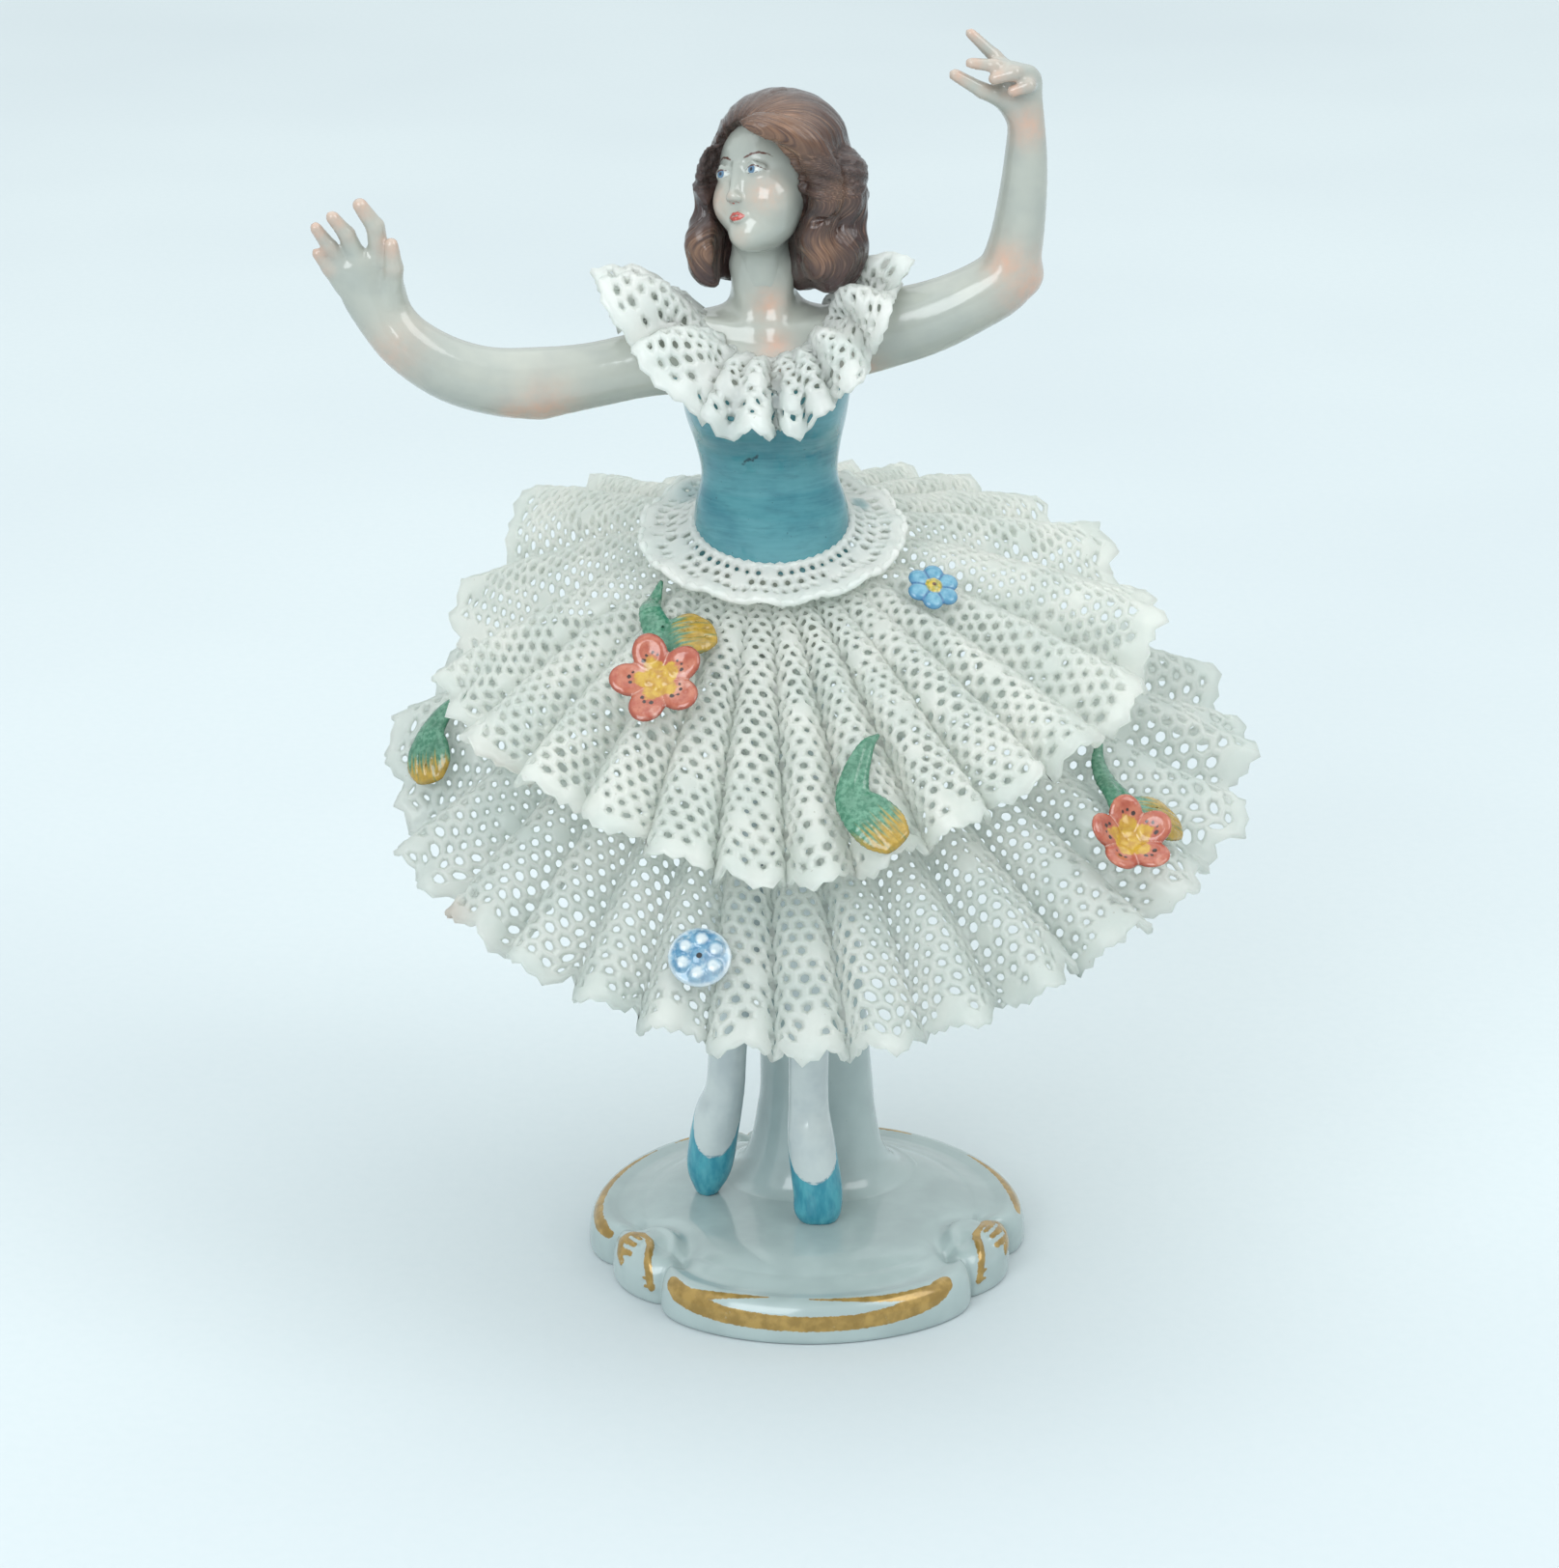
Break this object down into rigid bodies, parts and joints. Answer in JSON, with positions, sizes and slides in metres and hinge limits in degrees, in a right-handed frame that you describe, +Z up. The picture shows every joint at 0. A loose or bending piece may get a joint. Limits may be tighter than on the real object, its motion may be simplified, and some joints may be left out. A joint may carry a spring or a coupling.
{
  "type": "dresden lace figurine",
  "caption": "Glazed porcelain lace dancer with raised arms, pleated lace skirts, applied flowers and a moulded base.",
  "frame": {"origin": "middle of the base's flat underside, on the surface the figurine stands on", "axes": "+Z up, the dancer faces -Y, +X to the dancer's raised arm"},
  "size_m": [0.1076, 0.0947, 0.1498],
  "materials": {
    "white_glaze": "high gloss clear glaze over white porcelain, with gilded rim bands",
    "painted_glaze": "high gloss glaze over white porcelain, painted hair, bodice and shoes",
    "lace_glaze": "glossy thin porcelain lace",
    "coral_glaze": "glossy painted glaze",
    "green_glaze": "glossy painted glaze",
    "blue_glaze": "glossy painted glaze"
  },
  "bodies": {
    "root": {"base": "white_glaze", "figure": "painted_glaze", "upper_skirt": "lace_glaze", "lower_skirt": "lace_glaze", "waist_flounce": "lace_glaze", "collar_ruffle": "lace_glaze", "leaf_left": "green_glaze", "coral_flower_left": "coral_glaze", "leaf_right": "green_glaze", "coral_flower_right": "coral_glaze", "bud_left": "green_glaze", "bud_front": "green_glaze", "blue_flower_upper": "blue_glaze", "blue_flower_lower": "blue_glaze"}
  },
  "joints": []
}
